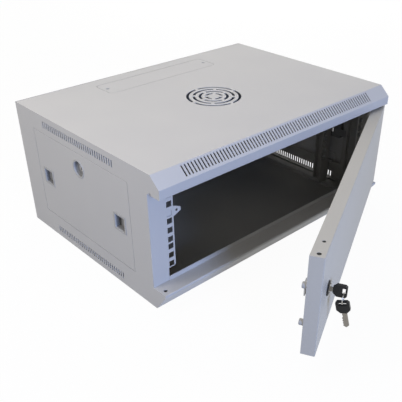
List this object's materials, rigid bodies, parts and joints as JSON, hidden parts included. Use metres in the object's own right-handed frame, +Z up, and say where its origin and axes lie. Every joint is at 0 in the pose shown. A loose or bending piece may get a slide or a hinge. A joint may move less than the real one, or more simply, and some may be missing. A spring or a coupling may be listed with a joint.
{
  "type": "wall mount network cabinet",
  "caption": "Shallow wall mount cabinet for 19-inch network equipment: vented folded-steel shell, hinged lockable front door, removable side panels and square-hole rails.",
  "frame": {"origin": "middle of the underside of the cabinet, the open door left out", "axes": "+X to the right seen from the front, +Y to the wall behind, +Z up"},
  "size_m": [0.5423, 0.6456, 0.234],
  "materials": {
    "painted_steel": "fine texture powder coat",
    "nickel": "nickel plated zinc",
    "plated_steel": "zinc plated",
    "grey_plastic": "moulded",
    "black_plastic": "moulded",
    "rubber": "matt"
  },
  "bodies": {
    "cabinet": {"top_cover": "painted_steel", "bottom_tray": "painted_steel", "rear_panel": "painted_steel", "top_cable_cover": "painted_steel", "bottom_cable_cover": "painted_steel", "earth_bracket": "painted_steel", "left_side_frame": "painted_steel", "left_side_panel": "painted_steel", "left_front_post": "painted_steel", "left_lower_depth_channel": "painted_steel", "left_upper_depth_channel": "painted_steel", "right_side_frame": "painted_steel", "right_side_panel": "painted_steel", "right_front_post": "painted_steel", "right_lower_depth_channel": "painted_steel", "right_upper_depth_channel": "painted_steel", "side_lock_bodies": "nickel", "side_lock_clips": "plated_steel", "left_front_latch_housing": "grey_plastic", "left_rear_latch_housing": "grey_plastic", "right_front_latch_housing": "grey_plastic", "right_rear_latch_housing": "grey_plastic"},
    "door": {"door_panel": "painted_steel", "door_buffers": "rubber", "hinge_brackets": "painted_steel", "upper_hinge_spring": "plated_steel", "door_lock_body": "nickel", "door_lock_clip": "plated_steel"},
    "hinge_pin": {"upper_hinge_pin": "plated_steel"},
    "lock_core": {"door_lock_core": "nickel", "door_lock_cam": "plated_steel"},
    "key": {"key_blade": "nickel", "key_bow": "black_plastic"},
    "ring": {"key_ring": "nickel"},
    "spare_key": {"spare_key_blade": "nickel", "spare_key_bow": "black_plastic"},
    "left_lock_core": {"left_side_lock_core": "nickel", "left_side_lock_cam": "plated_steel"},
    "left_front_latch": {"left_front_latch_slide": "grey_plastic"},
    "left_rear_latch": {"left_rear_latch_slide": "grey_plastic"},
    "left_rail": {"left_rear_rail": "painted_steel", "left_rail_bolts": "plated_steel"},
    "right_lock_core": {"right_side_lock_core": "nickel", "right_side_lock_cam": "plated_steel"},
    "right_front_latch": {"right_front_latch_slide": "grey_plastic"},
    "right_rear_latch": {"right_rear_latch_slide": "grey_plastic"},
    "right_rail": {"right_rear_rail": "painted_steel", "right_rail_bolts": "plated_steel"}
  },
  "joints": [
    {"name": "door_hinge", "type": "hinge", "parent": "cabinet", "child": "door", "pos_m": [0.261, -0.189, 0.11765], "axis": [0, 0, 1], "range_deg": [-26.9, 153.1]},
    {"name": "hinge_pin_slide", "type": "slide", "parent": "door", "child": "hinge_pin", "axis": [0, 0, 1], "range_m": [-0.012, 0], "stiffness_N_per_m": 250, "springref_m": 0.012, "deforming": ["upper_hinge_spring"]},
    {"name": "door_lock_turn", "type": "hinge", "parent": "door", "child": "lock_core", "pos_m": [-0.16276, -0.41464, 0.11765], "axis": [-0.4524, 0.8918, 0], "range_deg": [0, 90]},
    {"name": "key_slide", "type": "slide", "parent": "lock_core", "child": "key", "axis": [0.4524, -0.8918, 0], "range_m": [0, 0.022]},
    {"name": "key_ring_swing", "type": "hinge", "parent": "key", "child": "ring", "pos_m": [-0.15308, -0.43373, 0.11365], "axis": [0.8918, 0.4524, 0], "range_deg": [-50, 8]},
    {"name": "spare_key_swing", "type": "hinge", "parent": "ring", "child": "spare_key", "pos_m": [-0.15308, -0.43373, 0.09765], "axis": [0.8918, 0.4524, 0], "range_deg": [-25, 25]},
    {"name": "left_lock_turn", "type": "hinge", "parent": "cabinet", "child": "left_lock_core", "pos_m": [-0.2605, 0.011, 0.173], "axis": [1, 0, 0], "range_deg": [0, 90]},
    {"name": "left_front_latch_slide", "type": "slide", "parent": "cabinet", "child": "left_front_latch", "axis": [0, 1, 0], "range_m": [0, 0.007]},
    {"name": "left_rear_latch_slide", "type": "slide", "parent": "cabinet", "child": "left_rear_latch", "axis": [0, -1, 0], "range_m": [0, 0.007]},
    {"name": "left_rail_slide", "type": "slide", "parent": "cabinet", "child": "left_rail", "axis": [0, 1, 0], "range_m": [-0.03, 0.22]},
    {"name": "right_lock_turn", "type": "hinge", "parent": "cabinet", "child": "right_lock_core", "pos_m": [0.2605, 0.011, 0.173], "axis": [1, 0, 0], "range_deg": [0, 90]},
    {"name": "right_front_latch_slide", "type": "slide", "parent": "cabinet", "child": "right_front_latch", "axis": [0, 1, 0], "range_m": [0, 0.007]},
    {"name": "right_rear_latch_slide", "type": "slide", "parent": "cabinet", "child": "right_rear_latch", "axis": [0, -1, 0], "range_m": [0, 0.007]},
    {"name": "right_rail_slide", "type": "slide", "parent": "cabinet", "child": "right_rail", "axis": [0, 1, 0], "range_m": [-0.03, 0.22]}
  ]
}
